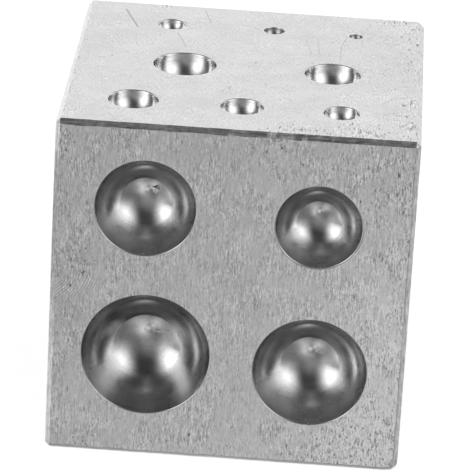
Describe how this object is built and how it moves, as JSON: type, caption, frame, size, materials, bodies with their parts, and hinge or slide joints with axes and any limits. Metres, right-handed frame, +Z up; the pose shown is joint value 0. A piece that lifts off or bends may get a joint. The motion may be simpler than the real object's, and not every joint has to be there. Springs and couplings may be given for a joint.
{
  "type": "dapping block",
  "caption": "Steel dapping cube with half-round cavities of rising size in all six faces, for doming sheet metal with round punches.",
  "frame": {"origin": "middle of the bottom face, on the plane that the block stands on", "axes": "+Z up, out of the face with eight small cavities; -Y forwards, out of the face with four cavities; +X to the right"},
  "size_m": [0.05, 0.05, 0.05],
  "materials": {
    "ground_steel": "surface-ground faces with a fine straight grain, polished cavities"
  },
  "bodies": {
    "root": {"block": "ground_steel"}
  },
  "joints": []
}
